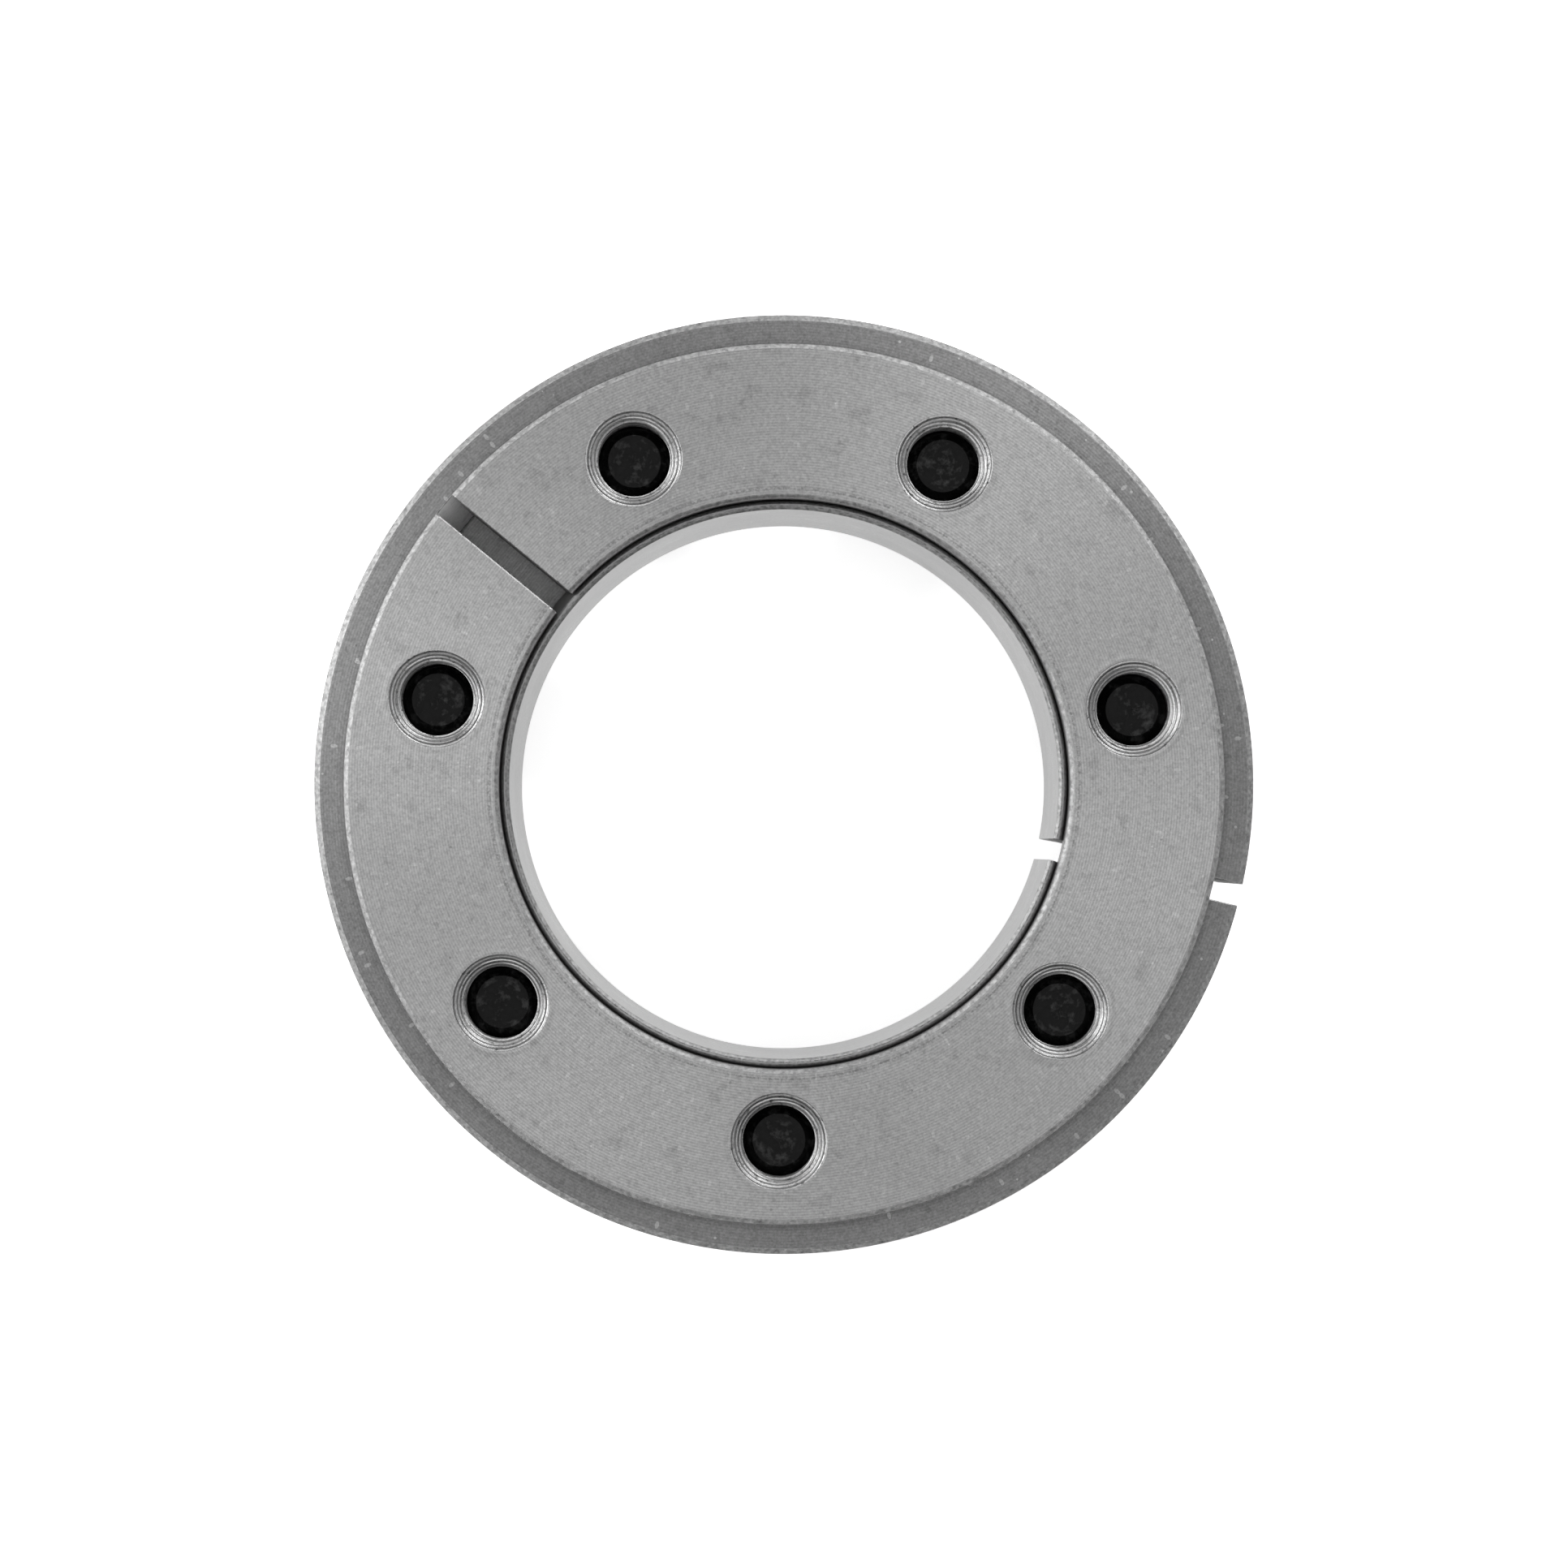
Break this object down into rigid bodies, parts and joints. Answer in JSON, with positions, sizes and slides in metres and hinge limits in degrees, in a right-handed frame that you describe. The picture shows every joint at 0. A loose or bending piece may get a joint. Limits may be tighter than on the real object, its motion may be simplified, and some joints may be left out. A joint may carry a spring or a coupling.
{
  "type": "clamping bushing",
  "caption": "Keyless locking set: slit outer and inner rings with a double taper, two slit pressure rings and cap screws, to clamp a hub on a plain shaft.",
  "frame": {"origin": "on the shaft's axis, at the plane on which the screw heads stand", "axes": "+Z along the shaft's axis from the screw heads to the rear pressure ring, which is the side that the picture shows; +X to the right and +Y up in the picture"},
  "size_m": [0.065, 0.065, 0.026],
  "materials": {
    "turned_steel": "satin, finely turned, lightly oiled",
    "black_oxide_steel": "black oxide, satin"
  },
  "bodies": {
    "clamped_rings": {"front_pressure_ring": "turned_steel", "outer_ring": "turned_steel", "inner_ring": "turned_steel"},
    "rear_ring": {"rear_pressure_ring": "turned_steel"},
    "screw_1": {"clamping_screw_1": "black_oxide_steel"},
    "screw_2": {"clamping_screw_2": "black_oxide_steel"},
    "screw_3": {"clamping_screw_3": "black_oxide_steel"},
    "screw_4": {"clamping_screw_4": "black_oxide_steel"},
    "screw_5": {"clamping_screw_5": "black_oxide_steel"},
    "screw_6": {"clamping_screw_6": "black_oxide_steel"},
    "screw_7": {"clamping_screw_7": "black_oxide_steel"}
  },
  "joints": [
    {"name": "rear_ring_travel", "type": "slide", "parent": "clamped_rings", "child": "rear_ring", "axis": [0, 0, 1], "range_m": [-0.00085, 0.004]},
    {"name": "screw_1_turn", "type": "hinge", "parent": "clamped_rings", "child": "screw_1", "pos_m": [-0.01035, 0.02231, 0.006], "axis": [0, 0, -1], "range_deg": [-308, 1442]},
    {"name": "screw_2_turn", "type": "hinge", "parent": "clamped_rings", "child": "screw_2", "pos_m": [0.01099, 0.022, 0.006], "axis": [0, 0, -1], "range_deg": [-308, 1442]},
    {"name": "screw_3_turn", "type": "hinge", "parent": "clamped_rings", "child": "screw_3", "pos_m": [0.02406, 0.00513, 0.006], "axis": [0, 0, -1], "range_deg": [-308, 1442]},
    {"name": "screw_4_turn", "type": "hinge", "parent": "clamped_rings", "child": "screw_4", "pos_m": [0.01901, -0.01561, 0.006], "axis": [0, 0, -1], "range_deg": [-308, 1442]},
    {"name": "screw_5_turn", "type": "hinge", "parent": "clamped_rings", "child": "screw_5", "pos_m": [-0.00036, -0.02459, 0.006], "axis": [0, 0, -1], "range_deg": [-308, 1442]},
    {"name": "screw_6_turn", "type": "hinge", "parent": "clamped_rings", "child": "screw_6", "pos_m": [-0.01945, -0.01506, 0.006], "axis": [0, 0, -1], "range_deg": [-308, 1442]},
    {"name": "screw_7_turn", "type": "hinge", "parent": "clamped_rings", "child": "screw_7", "pos_m": [-0.0239, 0.00582, 0.006], "axis": [0, 0, -1], "range_deg": [-308, 1442]}
  ],
  "couplings": [
    {"joint": "screw_1_turn", "follows": "rear_ring_travel", "rad_per_m": 6283.2},
    {"joint": "screw_2_turn", "follows": "rear_ring_travel", "rad_per_m": 6283.2},
    {"joint": "screw_3_turn", "follows": "rear_ring_travel", "rad_per_m": 6283.2},
    {"joint": "screw_4_turn", "follows": "rear_ring_travel", "rad_per_m": 6283.2},
    {"joint": "screw_5_turn", "follows": "rear_ring_travel", "rad_per_m": 6283.2},
    {"joint": "screw_6_turn", "follows": "rear_ring_travel", "rad_per_m": 6283.2},
    {"joint": "screw_7_turn", "follows": "rear_ring_travel", "rad_per_m": 6283.2}
  ]
}
